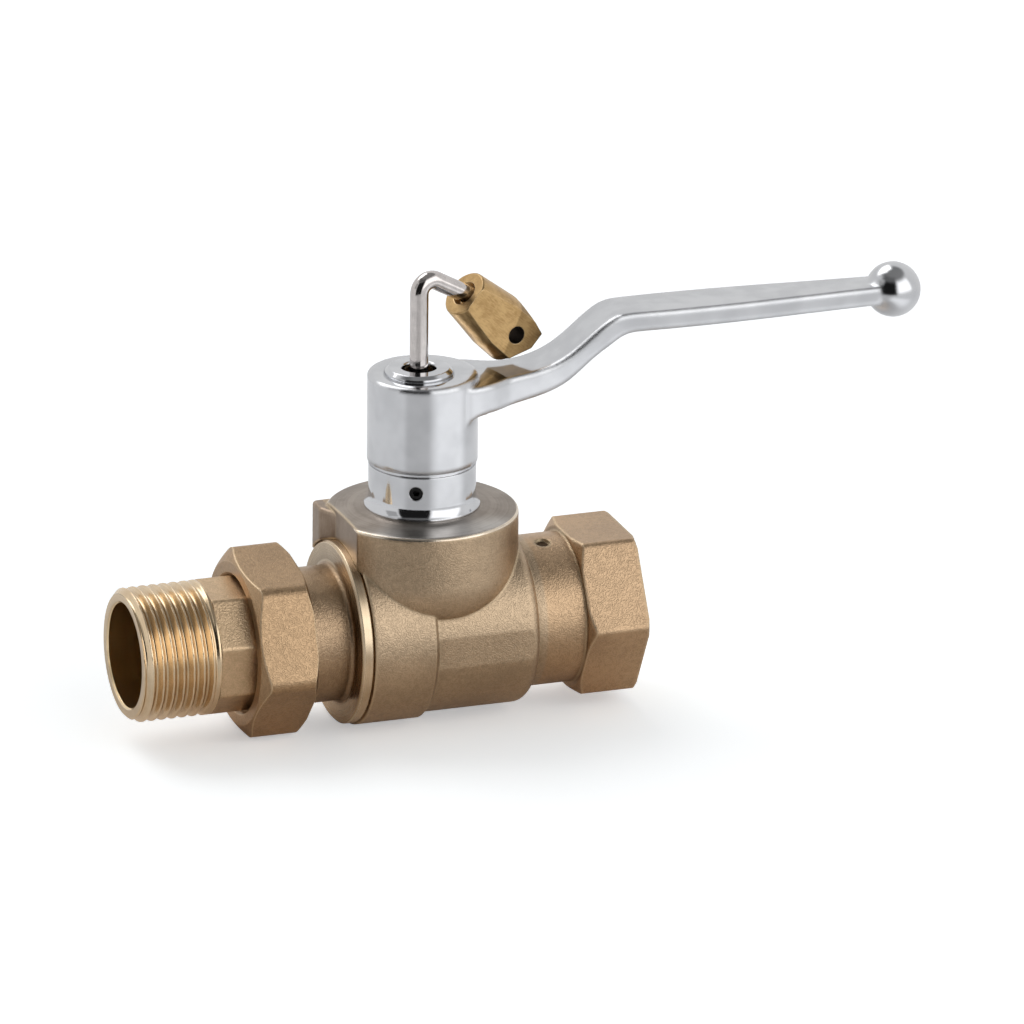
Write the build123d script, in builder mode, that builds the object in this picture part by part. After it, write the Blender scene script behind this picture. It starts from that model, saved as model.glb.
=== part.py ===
from build123d import *
import os
from math import cos, pi, radians, sin, sqrt

# Isolating ball valve, full bore 3/4 inch, with a union tail, a cranked lever and a lock key.
# Millimetres. The origin is the ball's centre, where the pipe axis (X) meets the stem axis (Z).
# The union tail points to -X, the female port to +X, and the stem stands up along +Z.
# The lever lies along +X, which is the open position.

# Pipe sizes
bore_r = 10.0                # full-bore way through the ball
way_r = 10.3                 # way through the fixed pieces, a little wider than the ball's
pipe_thread_r = 13.22        # crest radius of a 3/4 inch pipe thread
running_gap = 0.08           # radial room between pieces that turn or slide in each other
seat_room = 0.05             # radial room between pieces that are fixed together
hole_room = 0.1              # room around the bolt, its pin and the screw ends
free_room = 0.3              # room between pieces that pass without touching
lead_in = 1.0                # bevel at the mouth of a threaded piece
bevel_slope = 0.6            # along the bar, for each mm of bevel off its corners

# Ball and seats
ball_r = 15.0
cavity_r = 15.6              # chamber of the body around the ball
seat_outer_r = 13.4
seat_inner_r = 10.4
seat_front_x = 8.2           # where a seat's lip stands nearest the ball's centre
seat_back_x = 12.7
seat_rim_x = 9.0             # rim of the pocket that holds the seat

# Body casting
body_left_x = -15.75         # machined face that the end connector's flange closes
barrel_front_r = 18.4
barrel_step_x = -3.3
barrel_rear_r = 17.45
barrel_end_x = 19.0
barrel_corner_land = 0.2     # flat left between the barrel's round corner and the rear neck
rear_neck_r = 14.75
hex_start_x = 29.0
hex_end_x = 41.1
hex_flats = 31.0
hex_corner = 1.2
hex_bevel = 1.9
hex_end_bevel = 0.7
port_depth = 14.2
socket_r = 16.25             # threaded socket for the end connector
neck_r = 18.8
neck_top_z = 24.5            # turned top, where the collar stands on it
neck_top_r = 11.4
neck_rim_z = 23.65           # the top falls away a little to its rim
neck_edge = 0.75
neck_face_x = -16.5          # machined flat on the neck's left side
neck_shoulder_z = 13.0       # below this height the neck rounds in under the barrel
neck_foot_r = 16.0
neck_foot_z = 5.5
facet_centre_deg = -2.7      # flat on the barrel's side, left by the mould
facet_half_deg = 10.5
lug_start_y = 3.4            # where the lug's slanted side leaves the neck's flat
lug_front_y = 7.8
lug_end_y = 12.6
lug_reach = 2.7              # how far the lug stands out of the machined face
lug_top_drop = 0.65
lug_edge = 0.6
lug_height = 12.0
lug_corner = 1.2
dimple_r = 1.5
dimple_depth = 0.55
dimple_x = 24.0
dimple_deg = 80.0            # from straight ahead (-Y) up over the top

# Stem passage in the body
spigot_r = 6.6
spigot_top_z = 32.0
stem_r = 5.0
stem_pocket_r = 7.0
stem_pocket_top_z = 17.9
stem_collar_r = 6.8
stem_collar_bottom_z = 15.2
thrust_washer_t = 0.6
blade_t = 5.0                # the stem's blade stands in the ball's slot
blade_width = 9.4
blade_bottom_z = 11.4
ring_section_r = 0.65        # section radius of the seal rings
ring_groove_width = 1.7
ring_depth = 1.3
stem_ring_z = (19.9, 22.4)

# End connector
flange_t = 2.55
flange_r = 18.0
flange_bevel = 0.45
connector_neck_r = 13.3
connector_neck_end_x = -27.6
union_thread_r = 14.5
connector_nose_x = -32.4
connector_ring_x = -14.6

# Union
nut_left_x = -38.6
nut_right_x = -27.0
nut_flats = 33.0
nut_corner = 2.8
nut_left_bevel = 2.5
nut_right_bevel = 1.7
nut_first_corner_deg = 71.0
nut_hole_r = 13.5
nut_web_t = 1.65
gasket_t = 1.5
gasket_inner_r = 11.0
tail_collar_r = 14.3
tail_collar_t = 3.0
tail_flats = 24.6            # across the eight spanner flats
tail_first_corner_deg = 29.5
tail_flats_left_x = -45.6
tail_groove_r = 11.9
tail_groove_width = 0.9
tail_end_x = -61.2
tail_bevel = 1.1
tail_flats_corner = 0.5
tail_mouth = 0.4
nut_mouth_bevel = 0.5

# Lock collar
collar_r = 10.5
collar_lip_r = 11.35
collar_lip_t = 0.4
collar_flare_top_z = 27.2
collar_top_z = 33.9
collar_step_r = 10.15
collar_step_t = 0.7
collar_ceiling_t = 1.5
grub_r = 1.3
grub_z = 30.05
grub_deg = -116.0
grub_recess = 0.5
grub_socket_flats = 1.25
grub_socket_depth = 1.3

# Lever casting: hub, cranked arm and ball knob
hub_r = 10.8
hub_bottom_z = 34.0
hub_top_z = 51.5
hub_edge = 0.6
hub_web_t = 6.0
square_flats = 7.0
square_bevel = 0.5
knob_x = 97.1
knob_z = 57.8
knob_r = 5.45
arm_inside_x = 5.0           # where the arm starts inside the hub
arm_step = 1.2               # drop from the hub's top to the arm's
arm_root_t = 5.7
arm_half_width = 5.2
arm_tip_half_width = 3.8
arm_flare = ((6.0, 3.8), (11.0, 3.3), (14.0, 1.85), (16.5, 0.6))            # along X, half width gained
arm_taper = ((22.0, 0.0), (34.0, 0.0), (50.0, -0.35), (64.0, -0.15), (78.0, 0.6))   # half width lost
crank_start_x = 16.5
crank_under_x = 15.0
crank_end_x = 43.0
crank_rise = 10.35
crank_top = ((0.358, 0.175), (0.509, 0.398), (0.634, 0.65), (0.774, 0.903))     # shares of its run and rise
crank_under = ((0.25, 0.087), (0.464, 0.273), (0.654, 0.612), (0.821, 0.876))
bar_t = 3.95                 # thickness where the straight bar starts
bar_tip_t = 3.75
bar_fall = 0.9               # the straight bar falls this much towards the knob
arm_edge = 0.6
root_fillet_r = 2.6          # round corner under the arm where it leaves the hub

# Stem top: screw, washer and nut
screw_r = 2.5
washer_r = 4.7
washer_t = 0.6
stem_nut_flats = 8.0
stem_nut_t = 2.9
stem_nut_corner = 0.3
screw_proud = 0.4            # screw end above the nut

# Lock: rotor, bolt and its pin, cap and stop pin
lock_x = -0.8                # the lock's axis stands a little off the stem's
nut_chamber_r = 4.9
rotor_r = 5.85
rotor_bottom_z = 44.05
rotor_recess_r = 3.2
rotor_recess_z = 47.0
cap_r = 6.65
cap_seat_z = 50.2
cap_top_z = 52.7
cap_bevel = 0.7
cap_hole_r = 3.35
cap_mouth = 0.3
lock_circle_r = 8.4          # circle on which the bolt and the stop pin stand
bolt_r = 1.25
bolt_bottom_z = 34.3
bolt_top_z = 48.6
bolt_travel = 2.8
bolt_bevel = 0.25
bolt_deg = 180.0
bolt_pin_r = 0.8
bolt_pin_z = 47.7
bolt_pin_tip_r = 5.0         # from the stem's axis, as the lock circle
quarter_turn_deg = 90.0
groove_cuts = 18
stop_pin_r = 1.0
stop_pin_deg = -20.0
stop_pin_sink = 2.9
stop_pin_height = 1.6
stop_slack = 0.12

# Lock key: bent rod and turned head
key_plane_deg = 12.0
rod_r = 1.825
rod_bend_r = 2.5
rod_bend_z = 67.6
rod_turn_deg = 120.0
rod_lead = 7.45              # straight run from the bend to the head's face
head_turn_deg = 133.9        # the head hangs steeper than the rod's end
rod_in_head = 5.5
rod_bevel = 0.3
key_tip_z = 44.4
key_tip_t = 2.5
head_end_r = 4.8
head_wide_r = 5.95
head_wide_s = 9.6
head_length = 17.9
head_bevel = 0.3
head_crest = 4.75            # half height of the head where its lower nose facet starts
head_crest_s = 14.9
head_tip = 3.48              # half height of the head's end above its axis
head_flat = 4.1              # distance of the head's flats from its axis
head_hole_r = 1.75
head_hole_s = 13.2
head_mouth_r = 2.6
head_mouth_depth = 1.3

os.makedirs("parts", exist_ok=True)

stem_plane = Plane.XZ


def turned(points, axis, mode=Mode.ADD):
    """Turn a closed outline on the plane of the two main axes about one of them."""
    with BuildSketch(stem_plane) as outline:
        with BuildLine():
            Polyline(*points, close=True)
        make_face()
    revolve(outline.sketch, axis=axis, mode=mode)


def pipe_ring(start_x, end_x, inner, outer, mode=Mode.ADD):
    """A plain ring about the pipe axis."""
    turned([(start_x, inner), (start_x, outer), (end_x, outer), (end_x, inner)], Axis.X, mode)


def stem_ring(low_z, high_z, inner, outer, mode=Mode.ADD):
    """A plain ring about the stem axis."""
    turned([(inner, low_z), (outer, low_z), (outer, high_z), (inner, high_z)], Axis.Z, mode)


def lock_turned(points, mode=Mode.ADD):
    """Turn a closed outline about the lock's axis, with radii measured from that axis."""
    turned([(lock_x + radius, z) for radius, z in points], Axis((lock_x, 0, 0), (0, 0, 1)), mode)


def lock_ring(low_z, high_z, inner, outer, mode=Mode.ADD):
    """A plain ring about the lock's axis."""
    lock_turned([(inner, low_z), (outer, low_z), (outer, high_z), (inner, high_z)], mode)


def polygon(flats, sides, first_corner_deg, corner):
    """A regular polygon by its width across flats, with its corners rounded."""
    reach = flats / 2 / cos(pi / sides)
    angles = [radians(first_corner_deg + 360 / sides * i) for i in range(sides)]
    with BuildLine() as ring:
        Polyline(*[(reach * cos(a), reach * sin(a)) for a in angles], close=True)
    make_face(ring.edges())
    if corner > 0:
        fillet(vertices(), corner)


def on_circle(radius, angle_deg):
    """A point of the circle about the stem axis, seen from above."""
    return (radius * cos(radians(angle_deg)), radius * sin(radians(angle_deg)))


def bevel_ends(start_x, end_x, reach, start_bevel, end_bevel):
    """Turn the corners off both ends of a hexagon, as far as each bevel says."""
    outside = reach + seat_room
    turned(
        [(start_x, 0), (start_x, reach - start_bevel), (start_x + start_bevel * bevel_slope, outside),
         (end_x - end_bevel * bevel_slope, outside), (end_x, reach - end_bevel), (end_x, 0)],
        Axis.X, Mode.INTERSECT,
    )


def hex_reach(flats, corner):
    """Distance of a rounded hexagon corner from the axis."""
    return flats / sqrt(3) - corner * (2 / sqrt(3) - 1)


# Body: barrel, rear neck, hexagon and upright neck, cast as one
hex_corner_reach = hex_reach(hex_flats, hex_corner)
port_start_x = hex_end_x - port_depth
way_cone = pipe_thread_r - way_r

with BuildPart() as rear_hex:
    with BuildSketch(Plane.YZ.offset(hex_start_x)) as hex_outline:
        polygon(hex_flats, 6, 0, hex_corner)
    extrude(amount=hex_end_x - hex_start_x)
    bevel_ends(hex_start_x, hex_end_x, hex_corner_reach, hex_bevel, hex_end_bevel)

with BuildPart() as neck:
    with BuildSketch(stem_plane) as neck_outline:
        with BuildLine():
            shoulder = (neck_r, neck_shoulder_z)
            rim = (neck_r, neck_rim_z)
            Polyline((0, neck_foot_z), (0, neck_top_z), (neck_top_r, neck_top_z), rim, shoulder)
            TangentArc(shoulder, (neck_foot_r, neck_foot_z), tangent=(0, -1))
            Line((neck_foot_r, neck_foot_z), (0, neck_foot_z))
        make_face()
    revolve(axis=Axis.Z)
    rim = neck.edges().filter_by(GeomType.CIRCLE).filter_by_position(
        Axis.Z, neck_rim_z - seat_room, neck_rim_z + seat_room)
    fillet(rim, neck_edge)

with BuildPart() as lug:
    lug_top_z = neck_rim_z - lug_top_drop
    with BuildSketch(Plane.XY.offset(lug_top_z - lug_height)) as lug_outline:
        with BuildLine():
            Polyline((body_left_x + lug_reach, lug_start_y), (neck_face_x, lug_start_y),
                     (body_left_x - lug_reach, lug_front_y), (body_left_x - lug_reach, lug_end_y),
                     (body_left_x + lug_reach, lug_end_y), close=True)
        make_face()
        fillet(vertices().group_by(Axis.X)[0], lug_corner)
    extrude(amount=lug_height)
    fillet(lug.edges().group_by(Axis.Z)[-1].group_by(Axis.X)[0], lug_edge)

with BuildPart() as body:
    turned(
        [(body_left_x, 0), (body_left_x, barrel_front_r), (barrel_step_x, barrel_front_r),
         (barrel_step_x + barrel_front_r - barrel_rear_r, barrel_rear_r),
         (barrel_end_x, barrel_rear_r), (barrel_end_x, rear_neck_r),
         (hex_start_x + seat_room, rear_neck_r), (hex_start_x + seat_room, 0)],
        Axis.X,
    )
    barrel_end = body.edges().filter_by(GeomType.CIRCLE).group_by(Axis.X)[-2]
    fillet(barrel_end.sort_by(SortBy.RADIUS)[-1], barrel_rear_r - rear_neck_r - barrel_corner_land)
    facet_apothem = barrel_rear_r * cos(radians(facet_half_deg))
    for side_deg in (180 - facet_centre_deg, facet_centre_deg):
        side = Vector(0, cos(radians(side_deg)), sin(radians(side_deg)))
        facet_plane = Plane(origin=side * facet_apothem, x_dir=(1, 0, 0), z_dir=side)
        with BuildSketch(facet_plane) as facet:
            with Locations(((barrel_step_x + 1 + barrel_end_x) / 2, 0)):
                Rectangle(barrel_end_x - barrel_step_x - 1, barrel_rear_r)
        extrude(amount=barrel_rear_r - facet_apothem + seat_room, mode=Mode.SUBTRACT)
    add(neck.part)
    with BuildSketch(Plane.YZ.offset(neck_face_x)) as facing:
        Rectangle(4 * neck_r, 4 * neck_r)
    extrude(amount=-neck_r, mode=Mode.SUBTRACT)
    add(lug.part)
    add(rear_hex.part)
    pipe_ring(body_left_x - lug_reach - lead_in, body_left_x, 0, flange_r + seat_room, Mode.SUBTRACT)
    # spigot that centres the lock collar and guides the stem
    stem_ring(neck_top_z - neck_edge, spigot_top_z, 0, spigot_r)
    # socket, ball chamber, seat pocket, way and female port
    turned(
        [(body_left_x, 0), (body_left_x, socket_r), (-seat_rim_x - lead_in / 2, socket_r),
         (-seat_rim_x - lead_in / 2, cavity_r), (seat_rim_x, cavity_r),
         (seat_rim_x, seat_outer_r + seat_room), (seat_back_x + seat_room, seat_outer_r + seat_room),
         (seat_back_x + seat_room, way_r), (port_start_x - way_cone, way_r),
         (port_start_x, pipe_thread_r), (hex_end_x - lead_in, pipe_thread_r),
         (hex_end_x, pipe_thread_r + lead_in), (hex_end_x + lead_in, pipe_thread_r + lead_in),
         (hex_end_x + lead_in, 0)],
        Axis.X, Mode.SUBTRACT,
    )
    # stem passage
    stem_ring(0, stem_pocket_top_z, 0, stem_pocket_r, Mode.SUBTRACT)
    stem_ring(0, spigot_top_z, 0, stem_r + running_gap, Mode.SUBTRACT)
    # small round mark pressed into the rear neck
    mark_dir = Vector(0, -cos(radians(dimple_deg)), sin(radians(dimple_deg)))
    mark_at = Vector(dimple_x, 0, 0) + mark_dir * (rear_neck_r - dimple_depth)
    with BuildSketch(Plane(origin=mark_at, x_dir=(1, 0, 0), z_dir=mark_dir)) as mark:
        Circle(dimple_r)
    extrude(amount=dimple_depth + lead_in, mode=Mode.SUBTRACT)
body.part.label = "body"
export_step(body.part, "parts/body.step")

# End connector: screwed into the body, carries the union thread and the left seat
flange_left_x = body_left_x - flange_t
plug_r = socket_r - seat_room
ring_half = ring_groove_width / 2

with BuildPart() as end_connector:
    turned(
        [(connector_nose_x, way_r), (connector_nose_x, union_thread_r - lead_in / 2),
         (connector_nose_x + lead_in / 2, union_thread_r), (connector_neck_end_x, union_thread_r),
         (connector_neck_end_x + lead_in, connector_neck_r), (flange_left_x, connector_neck_r),
         (flange_left_x, flange_r - flange_bevel), (flange_left_x + flange_bevel, flange_r),
         (body_left_x - flange_bevel, flange_r), (body_left_x, flange_r - flange_bevel),
         (body_left_x, plug_r), (connector_ring_x - ring_half, plug_r),
         (connector_ring_x - ring_half, plug_r - ring_depth),
         (connector_ring_x + ring_half, plug_r - ring_depth),
         (connector_ring_x + ring_half, plug_r), (-seat_rim_x - lead_in, plug_r),
         (-seat_rim_x - lead_in / 2, plug_r - lead_in / 2),
         (-seat_rim_x - lead_in / 2, seat_outer_r + seat_room),
         (-seat_back_x - seat_room, seat_outer_r + seat_room), (-seat_back_x - seat_room, way_r)],
        Axis.X,
    )
    flange_root = end_connector.edges().filter_by(GeomType.CIRCLE).filter_by_position(
        Axis.X, flange_left_x - seat_room, flange_left_x + seat_room).sort_by(SortBy.RADIUS)
    fillet(flange_root[0], lead_in)
end_connector.part.label = "end_connector"
export_step(end_connector.part, "parts/end_connector.step")


def seal_ring(centre, section_r):
    """The round section of a seal ring on the plane of the axes."""
    with BuildSketch(stem_plane) as section:
        with Locations(centre):
            Circle(section_r)
    return section.sketch


with BuildPart() as connector_ring:
    revolve(seal_ring((connector_ring_x, plug_r - ring_section_r), ring_section_r), axis=Axis.X)
connector_ring.part.label = "connector_seal_ring"
export_step(connector_ring.part, "parts/connector_seal_ring.step")

# Seats: two plastic rings, dished to the ball
with BuildPart() as seat_left:
    pipe_ring(-seat_back_x, -seat_front_x, seat_inner_r, seat_outer_r)
    Sphere(ball_r + running_gap, mode=Mode.SUBTRACT)
seat_left.part.label = "seat_left"
export_step(seat_left.part, "parts/seat_left.step")

with BuildPart() as seat_right:
    mirror(seat_left.part, about=Plane.YZ)
seat_right.part.label = "seat_right"
export_step(seat_right.part, "parts/seat_right.step")

# Ball: full bore, with a slot across its top for the stem's blade
slot_bottom_z = blade_bottom_z - free_room

with BuildPart() as ball:
    Sphere(ball_r)
    pipe_ring(-ball_r, ball_r, 0, bore_r, Mode.SUBTRACT)
    with BuildSketch(Plane.XY.offset(slot_bottom_z)) as slot:
        Rectangle(blade_t + 2 * running_gap, 2 * ball_r)
    extrude(amount=ball_r, mode=Mode.SUBTRACT)
ball.part.label = "ball"
export_step(ball.part, "parts/ball.step")

# Stem: blade, blow-out collar, shaft with two seal grooves, square and screw
web_top_z = hub_bottom_z + hub_web_t
stem_collar_top_z = stem_pocket_top_z - thrust_washer_t - seat_room
screw_top_z = web_top_z + washer_t + stem_nut_t + screw_proud

with BuildPart() as stem:
    stem_ring(stem_collar_bottom_z, stem_collar_top_z, 0, stem_collar_r)
    stem_ring(stem_collar_top_z, hub_bottom_z, 0, stem_r)
    for ring_z in stem_ring_z:
        groove_r = stem_r - ring_depth
        stem_ring(ring_z - ring_half, ring_z + ring_half, groove_r, stem_r + lead_in, Mode.SUBTRACT)
    with BuildSketch(Plane.XY.offset(hub_bottom_z)) as square:
        Rectangle(square_flats, square_flats)
        chamfer(square.vertices(), square_bevel)
    extrude(amount=hub_web_t - hole_room)
    stem_ring(web_top_z - lead_in, screw_top_z, 0, screw_r)
    with BuildSketch(Plane.XY.offset(blade_bottom_z)) as blade:
        Rectangle(blade_t, blade_width)
    extrude(amount=stem_collar_bottom_z - blade_bottom_z)
stem.part.label = "stem"
export_step(stem.part, "parts/stem.step")

with BuildPart() as thrust_washer:
    stem_ring(stem_pocket_top_z - thrust_washer_t, stem_pocket_top_z, stem_r + running_gap, stem_collar_r)
thrust_washer.part.label = "stem_thrust_washer"
export_step(thrust_washer.part, "parts/stem_thrust_washer.step")

for ring_z, name in zip(stem_ring_z, ("stem_seal_ring_lower", "stem_seal_ring_upper")):
    with BuildPart() as stem_seal:
        centre_r = stem_r - ring_depth + ring_section_r
        revolve(seal_ring((centre_r, ring_z), ring_section_r), axis=Axis.Z)
    stem_seal.part.label = name
    export_step(stem_seal.part, f"parts/{name}.step")

# Union tail: pipe thread, spanner flats, and a collar that the nut draws up
tail_collar_left_x = connector_nose_x - gasket_t - tail_collar_t
tail_collar_right_x = connector_nose_x - gasket_t
flats_reach = tail_flats / 2 / cos(pi / 8)

with BuildPart() as tail_piece:
    with BuildSketch(Plane.YZ.offset(tail_flats_left_x)) as flats_outline:
        polygon(tail_flats, 8, tail_first_corner_deg, tail_flats_corner)
    extrude(amount=tail_collar_left_x - tail_flats_left_x)
    pipe_ring(tail_collar_left_x, tail_collar_right_x, 0, tail_collar_r)
    turned(
        [(tail_end_x, 0), (tail_end_x, pipe_thread_r - tail_bevel),
         (tail_end_x + tail_bevel, pipe_thread_r), (tail_flats_left_x - tail_groove_width, pipe_thread_r),
         (tail_flats_left_x, tail_groove_r), (tail_flats_left_x, 0)],
        Axis.X,
    )
    pipe_ring(tail_end_x, tail_collar_right_x, 0, way_r, Mode.SUBTRACT)
    mouth = tail_piece.edges().filter_by(GeomType.CIRCLE).group_by(Axis.X)[0].sort_by(SortBy.RADIUS)[0]
    chamfer(mouth, tail_mouth)
tail_piece.part.label = "tail_piece"
export_step(tail_piece.part, "parts/tail_piece.step")

with BuildPart() as gasket:
    pipe_ring(tail_collar_right_x, connector_nose_x, gasket_inner_r, tail_collar_r)
gasket.part.label = "union_gasket"
export_step(gasket.part, "parts/union_gasket.step")

# Union nut
nut_reach = hex_reach(nut_flats, nut_corner)
nut_web_x = nut_left_x + nut_web_t

with BuildPart() as union_nut:
    with BuildSketch(Plane.YZ.offset(nut_left_x)) as nut_outline:
        polygon(nut_flats, 6, nut_first_corner_deg, nut_corner)
    extrude(amount=nut_right_x - nut_left_x)
    bevel_ends(nut_left_x, nut_right_x, nut_reach, nut_left_bevel, nut_right_bevel)
    pipe_ring(nut_left_x, nut_right_x, 0, nut_hole_r, Mode.SUBTRACT)
    turned(
        [(nut_web_x, 0), (nut_web_x, union_thread_r + running_gap),
         (nut_right_x - lead_in, union_thread_r + running_gap),
         (nut_right_x, union_thread_r + lead_in), (nut_right_x, 0)],
        Axis.X, Mode.SUBTRACT,
    )
    nut_mouth = union_nut.edges().filter_by(GeomType.CIRCLE).group_by(Axis.X)[0].sort_by(SortBy.RADIUS)[0]
    chamfer(nut_mouth, nut_mouth_bevel)
union_nut.part.label = "union_nut"
export_step(union_nut.part, "parts/union_nut.step")

# Lock collar: fixed ring with two holes for the bolt and one for the stop pin
with BuildPart() as lock_collar:
    with BuildSketch(stem_plane) as collar_outline:
        with BuildLine():
            flare_top = (collar_r, collar_flare_top_z)
            lip_top = (collar_lip_r, neck_top_z + collar_lip_t)
            Polyline(lip_top, (collar_lip_r, neck_top_z), (spigot_r + seat_room, neck_top_z),
                     (spigot_r + seat_room, collar_top_z - collar_ceiling_t),
                     (stem_r + free_room, collar_top_z - collar_ceiling_t),
                     (stem_r + free_room, collar_top_z),
                     (collar_step_r, collar_top_z), (collar_step_r, collar_top_z - collar_step_t),
                     (collar_r, collar_top_z - collar_step_t), flare_top)
            TangentArc(flare_top, lip_top, tangent=(0, -1))
        make_face()
    revolve(axis=Axis.Z)
    bolt_hole_depth = bolt_travel - (bolt_bottom_z - collar_top_z) + free_room
    bolt_places = [on_circle(lock_circle_r, bolt_deg - turned_deg) for turned_deg in (0, quarter_turn_deg)]
    with BuildSketch(Plane.XY.offset(collar_top_z - bolt_hole_depth)) as bolt_holes:
        with Locations(*bolt_places):
            Circle(bolt_r + hole_room)
    extrude(amount=bolt_hole_depth, mode=Mode.SUBTRACT)
    with BuildSketch(Plane.XY.offset(collar_top_z - stop_pin_sink)) as stop_hole:
        with Locations(on_circle(lock_circle_r, stop_pin_deg)):
            Circle(stop_pin_r + seat_room)
    extrude(amount=stop_pin_sink, mode=Mode.SUBTRACT)
    grub_dir = Vector(*on_circle(1, grub_deg), 0)
    with BuildSketch(Plane(origin=grub_dir * spigot_r + Vector(0, 0, grub_z), z_dir=grub_dir)) as grub_bore:
        Circle(grub_r + seat_room)
    extrude(amount=collar_lip_r, mode=Mode.SUBTRACT)
lock_collar.part.label = "lock_collar"
export_step(lock_collar.part, "parts/lock_collar.step")

with BuildPart() as stop_pin:
    with BuildSketch(Plane.XY.offset(collar_top_z - stop_pin_sink)) as stop_section:
        with Locations(on_circle(lock_circle_r, stop_pin_deg)):
            Circle(stop_pin_r)
    extrude(amount=stop_pin_sink + stop_pin_height)
stop_pin.part.label = "stop_pin"
export_step(stop_pin.part, "parts/stop_pin.step")

# Grub screw that fixes the collar on its spigot
grub_length = collar_r - grub_recess - spigot_r - seat_room

with BuildPart() as grub_screw:
    grub_start = grub_dir * (spigot_r + seat_room) + Vector(0, 0, grub_z)
    with BuildSketch(Plane(origin=grub_start, z_dir=grub_dir)) as grub_section:
        Circle(grub_r)
    extrude(amount=grub_length)
    socket_start = grub_start + grub_dir * (grub_length - grub_socket_depth)
    with BuildSketch(Plane(origin=socket_start, z_dir=grub_dir)) as grub_socket:
        polygon(grub_socket_flats, 6, 0, 0)
    extrude(amount=grub_socket_depth, mode=Mode.SUBTRACT)
grub_screw.part.label = "collar_grub_screw"
export_step(grub_screw.part, "parts/collar_grub_screw.step")

# Lever: hub, cranked arm and ball knob in one casting
arm_top_z = hub_top_z - arm_step
arm_under_z = arm_top_z - arm_root_t
bar_start = (crank_end_x, arm_top_z + crank_rise)
bar_end_x = knob_x - knob_r / 2
bar_end = (bar_end_x, bar_start[1] - bar_fall)
under_rise = bar_start[1] - bar_t - arm_under_z
arm_top_line = [(arm_inside_x, arm_top_z), (crank_start_x, arm_top_z)]
arm_top_line += [(crank_start_x + run * (crank_end_x - crank_start_x), arm_top_z + rise * crank_rise)
                 for run, rise in crank_top]
arm_under_line = [(arm_inside_x, arm_under_z), (crank_under_x, arm_under_z)]
arm_under_line += [(crank_under_x + run * (crank_end_x - crank_under_x), arm_under_z + rise * under_rise)
                   for run, rise in crank_under]
arm_plan_line = [(x, arm_half_width + extra) for x, extra in arm_flare]
arm_plan_line += [(x, arm_half_width - loss) for x, loss in arm_taper] + [(bar_end_x, arm_tip_half_width)]


def arm_plan():
    """The arm seen from above, between its two sides."""
    with BuildLine() as sides:
        Spline(*arm_plan_line)
        Line(arm_plan_line[-1], (bar_end_x, -arm_tip_half_width))
        Spline(*[(x, -half) for x, half in arm_plan_line])
        Line((arm_plan_line[0][0], -arm_plan_line[0][1]), arm_plan_line[0])
    make_face(sides.edges())


with BuildPart() as arm:
    with BuildSketch(stem_plane) as arm_side:
        with BuildLine():
            Spline(*arm_top_line, bar_start, tangents=[(1, 0), (bar_end_x - crank_end_x, -bar_fall)])
            bar_under = (crank_end_x, bar_start[1] - bar_t)
            Polyline(bar_start, bar_end, (bar_end_x, bar_end[1] - bar_tip_t), bar_under)
            Spline(*arm_under_line, bar_under,
                   tangents=[(1, 0), (bar_end_x - crank_end_x, bar_t - bar_tip_t - bar_fall)])
            Line(arm_under_line[0], arm_top_line[0])
        make_face()
    extrude(amount=hub_r, both=True)
    with BuildSketch(Plane.XY) as arm_width:
        arm_plan()
    extrude(amount=2 * knob_z, mode=Mode.INTERSECT)
    fillet(arm.edges().filter_by(lambda e: e.bounding_box().size.X > 3 * arm_edge), arm_edge)

with BuildPart() as root_skirt:
    with BuildSketch(stem_plane) as skirt_outline:
        with BuildLine():
            skirt_top_z = arm_under_z + arm_edge
            skirt_foot = (hub_r, arm_under_z - root_fillet_r)
            skirt_edge = (hub_r + root_fillet_r, arm_under_z)
            Polyline(skirt_edge, (hub_r + root_fillet_r, skirt_top_z), (hub_r - arm_edge, skirt_top_z),
                     (hub_r - arm_edge, arm_under_z - root_fillet_r), skirt_foot)
            TangentArc(skirt_foot, skirt_edge, tangent=(0, 1))
        make_face()
    revolve(axis=Axis.Z)
    with BuildSketch(Plane.XY) as skirt_width:
        arm_plan()
    extrude(amount=2 * knob_z, mode=Mode.INTERSECT)

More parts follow.
